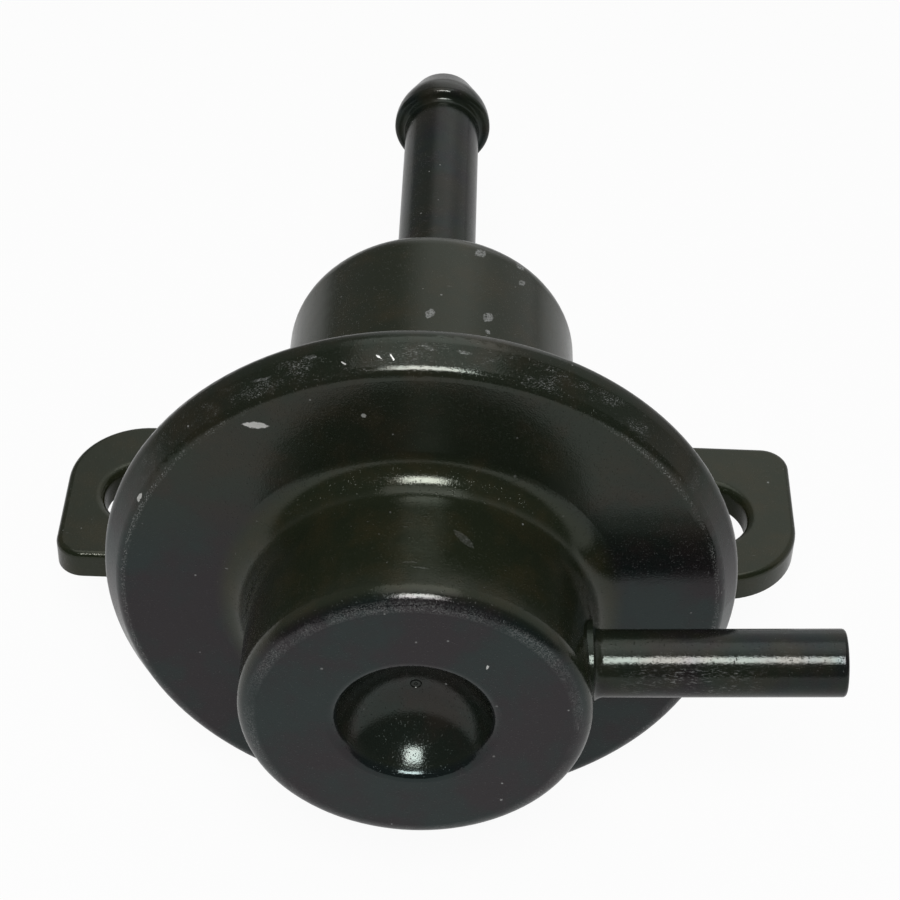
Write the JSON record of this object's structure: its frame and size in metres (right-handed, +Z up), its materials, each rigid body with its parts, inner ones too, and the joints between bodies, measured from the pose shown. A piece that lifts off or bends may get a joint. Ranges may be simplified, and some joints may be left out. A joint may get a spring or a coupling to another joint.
{
  "type": "fuel pressure regulator",
  "caption": "Black steel fuel pressure regulator with a crimped diaphragm housing, side vacuum pipe, beaded return pipe and a bolted plate with an O-ring inlet.",
  "frame": {"origin": "centre of the plate's mounting face, on the inlet spigot's axis, midway between the bolt holes", "axes": "+Z up out of the mounting face, +Y along the regulator's axis towards the return pipe, +X along the plate towards the vacuum pipe's side"},
  "size_m": [0.0593, 0.0771, 0.046],
  "materials": {
    "black_coat": "semi-gloss black coat on drawn steel, scuffed at the edges",
    "plated_steel": "dull yellowish zinc plate",
    "seal_rubber": "smooth moulded rubber",
    "diaphragm_rubber": "fabric backed rubber",
    "spring_steel": "drawn spring wire",
    "ball_steel": "polished",
    "seat_brass": "turned"
  },
  "bodies": {
    "housing": {"spring_housing": "black_coat", "vacuum_pipe": "black_coat", "fuel_chamber": "black_coat", "return_pipe": "black_coat", "valve_seat": "seat_brass", "mounting_plate": "black_coat", "inlet_spigot": "plated_steel", "inlet_o_ring": "seal_rubber", "spring_cap": "plated_steel", "pressure_spring": "spring_steel", "diaphragm": "diaphragm_rubber"},
    "valve_carrier": {"spring_seat": "plated_steel", "backing_plate": "plated_steel", "valve_holder": "plated_steel", "ball_spring": "spring_steel"},
    "ball": {"valve_ball": "ball_steel"}
  },
  "joints": [
    {"name": "valve_lift", "type": "slide", "parent": "housing", "child": "valve_carrier", "axis": [0, -1, 0], "range_m": [0, 0.0008], "stiffness_N_per_m": 20000, "deforming": ["pressure_spring", "diaphragm"]},
    {"name": "valve_swivel", "type": "hinge", "parent": "valve_carrier", "child": "ball", "pos_m": [0, -0.01255, 0.0114], "axis": [1, 0, 0], "range_deg": [-2, 2]}
  ]
}
